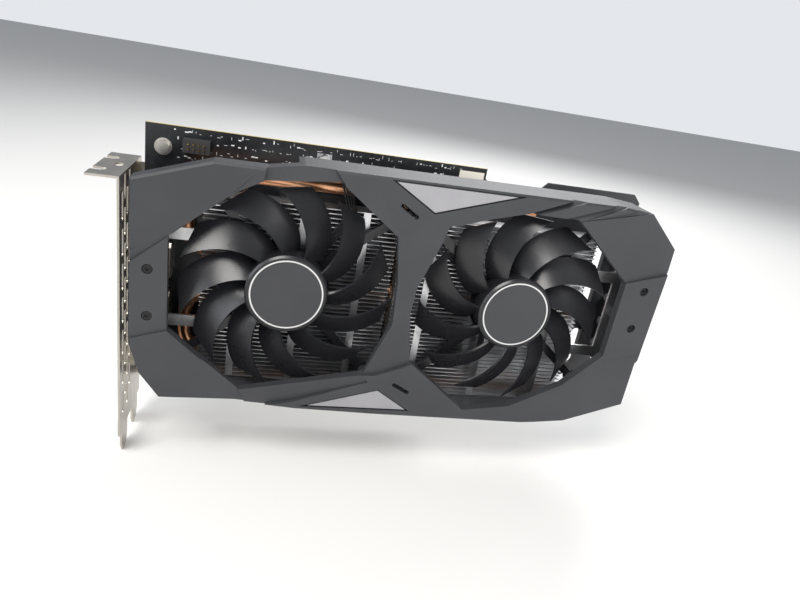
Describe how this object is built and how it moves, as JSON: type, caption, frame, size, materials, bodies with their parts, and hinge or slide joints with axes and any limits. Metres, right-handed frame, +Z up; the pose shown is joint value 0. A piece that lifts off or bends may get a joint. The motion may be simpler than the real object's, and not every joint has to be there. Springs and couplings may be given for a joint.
{
  "type": "graphics card",
  "caption": "Two-slot graphics card with a faceted dark shroud, spinning fans, a finned heat-pipe cooler, a bare circuit board edge and a steel slot bracket.",
  "frame": {"origin": "bottom centre of the card's box, level with the tips of the bracket's tongues", "axes": "+X along the card from the bracket to the tail, +Y from the fans to the back plate, +Z up from the slot edge to the top edge"},
  "size_m": [0.237, 0.0406, 0.1346],
  "materials": {
    "board_mask": "black solder mask",
    "gold": "gold plate",
    "substrate": "green laminate",
    "silicon": "polished",
    "black_epoxy": "matte",
    "ferrite": "matte grey",
    "can_aluminium": "satin",
    "ceramic": "matte",
    "nickel_steel": "nickel plated",
    "copper": "bare copper",
    "fin_aluminium": "mill",
    "pad": "soft",
    "screw_steel": "plated",
    "shroud_plastic": "fine moulded texture",
    "grey_trim": "satin grey",
    "black_screw": "black oxide",
    "fan_plastic": "semi gloss",
    "hub_film": "satin film",
    "bronze": "sintered",
    "wire": "soft sheath",
    "white_nylon": "natural nylon"
  },
  "bodies": {
    "card": {"back_plate": "shroud_plastic", "back_plate_screws": "black_screw", "back_plate_spacers": "nickel_steel", "board_screws": "screw_steel", "ceramic_capacitors": "ceramic", "circuit_board": "board_mask", "cold_plate": "fin_aluminium", "cooler_screws": "screw_steel", "cooler_springs": "screw_steel", "displayport_socket_1": "nickel_steel", "displayport_socket_2": "nickel_steel", "displayport_socket_3": "nickel_steel", "edge_contacts": "gold", "end_bracket_left": "fin_aluminium", "end_bracket_right": "fin_aluminium", "fan_bearing_left": "bronze", "fan_bearing_right": "bronze", "fan_cable_left": "wire", "fan_cable_right": "wire", "fan_frame_left": "fan_plastic", "fan_frame_right": "fan_plastic", "fan_plug": "white_nylon", "fan_screws_left": "black_screw", "fan_screws_right": "black_screw", "fan_socket": "white_nylon", "fan_stator_left": "copper", "fan_stator_right": "copper", "fin_stack_left": "fin_aluminium", "fin_stack_right": "fin_aluminium", "gpu_die": "silicon", "gpu_substrate": "substrate", "hdmi_socket": "nickel_steel", "header_pins": "gold", "heat_pipe_lower": "copper", "heat_pipe_middle": "copper", "heat_pipe_upper": "copper", "io_bracket": "nickel_steel", "memory_chips": "black_epoxy", "pin_header": "black_epoxy", "power_chokes": "ferrite", "power_pins": "gold", "power_socket": "black_epoxy", "power_stages": "black_epoxy", "shroud": "shroud_plastic", "shroud_screws": "black_screw", "socket_tongues": "black_epoxy", "solid_capacitors": "can_aluminium", "tail_frame": "shroud_plastic", "thermal_pads": "pad", "trim_plate_lower": "grey_trim", "trim_plate_upper": "grey_trim"},
    "fan_left": {"fan_rotor_left": "fan_plastic", "hub_disc_left": "hub_film", "fan_magnet_left": "ferrite", "fan_shaft_left": "screw_steel"},
    "fan_right": {"fan_rotor_right": "fan_plastic", "hub_disc_right": "hub_film", "fan_magnet_right": "ferrite", "fan_shaft_right": "screw_steel"}
  },
  "joints": [
    {"name": "fan_left_spin", "type": "hinge", "parent": "card", "child": "fan_left", "pos_m": [-0.04519, -0.01225, 0.0796], "axis": [0, 1, 0], "continuous": true},
    {"name": "fan_right_spin", "type": "hinge", "parent": "card", "child": "fan_right", "pos_m": [0.05312, -0.01225, 0.0796], "axis": [0, 1, 0], "continuous": true}
  ]
}
